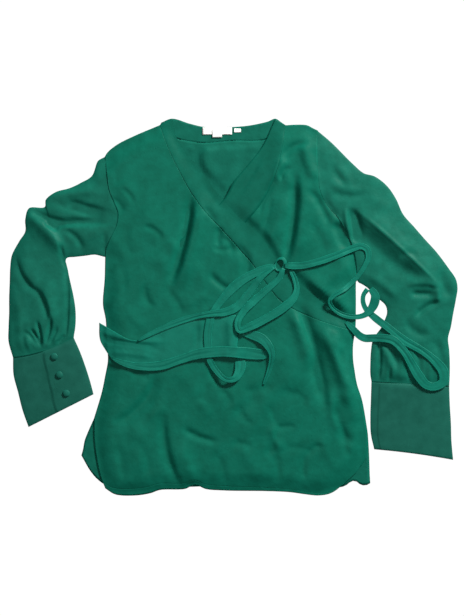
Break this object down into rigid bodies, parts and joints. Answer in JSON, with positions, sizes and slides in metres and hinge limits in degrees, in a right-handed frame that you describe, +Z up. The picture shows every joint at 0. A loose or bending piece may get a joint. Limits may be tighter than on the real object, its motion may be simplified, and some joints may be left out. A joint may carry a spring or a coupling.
{
  "type": "wrap top",
  "caption": "Long-sleeved wrap blouse laid flat, with a banded V neck, deep buttoned cuffs and long ties knotted at the waist.",
  "frame": {"origin": "middle of the laid garment's bounding box, on the floor under it", "axes": "+X from the wearer's right sleeve to the left one, +Y from the hem to the neck, +Z up off the floor"},
  "size_m": [0.8085, 0.6782, 0.0197],
  "materials": {
    "crepe": "emerald green satin-back crepe, soft sheen, fine crinkle",
    "crepe_inside": "inside face of the emerald crepe, a little more matt",
    "crepe_band": "doubled emerald crepe, pressed flat",
    "crepe_cuff": "interfaced emerald crepe, pressed and stitched at the edges",
    "crepe_tie": "doubled emerald crepe, bunched lengthwise",
    "covered_button": "crepe drawn over a domed button",
    "label": "bare white woven satin label"
  },
  "bodies": {
    "root": {"back_panel": "crepe_inside", "back_neck_band": "crepe_inside", "left_front": "crepe", "left_neck_band": "crepe_band", "right_front": "crepe", "right_neck_band": "crepe_band", "main_label": "label", "label_tab": "label", "size_label": "label", "right_sleeve": "crepe", "left_sleeve": "crepe", "right_cuff": "crepe_cuff", "left_cuff": "crepe_cuff", "right_cuff_button_1": "covered_button", "right_cuff_button_2": "covered_button", "right_cuff_button_3": "covered_button", "left_tie_sash": "crepe_tie", "left_tie_lower": "crepe_tie", "left_tie_upper": "crepe_tie", "drop_loop": "crepe_tie", "bow_loop": "crepe_tie", "bow_tail": "crepe_tie", "knot": "crepe_tie", "right_tie_outer": "crepe_tie", "right_tie_inner": "crepe_tie"}
  },
  "joints": []
}
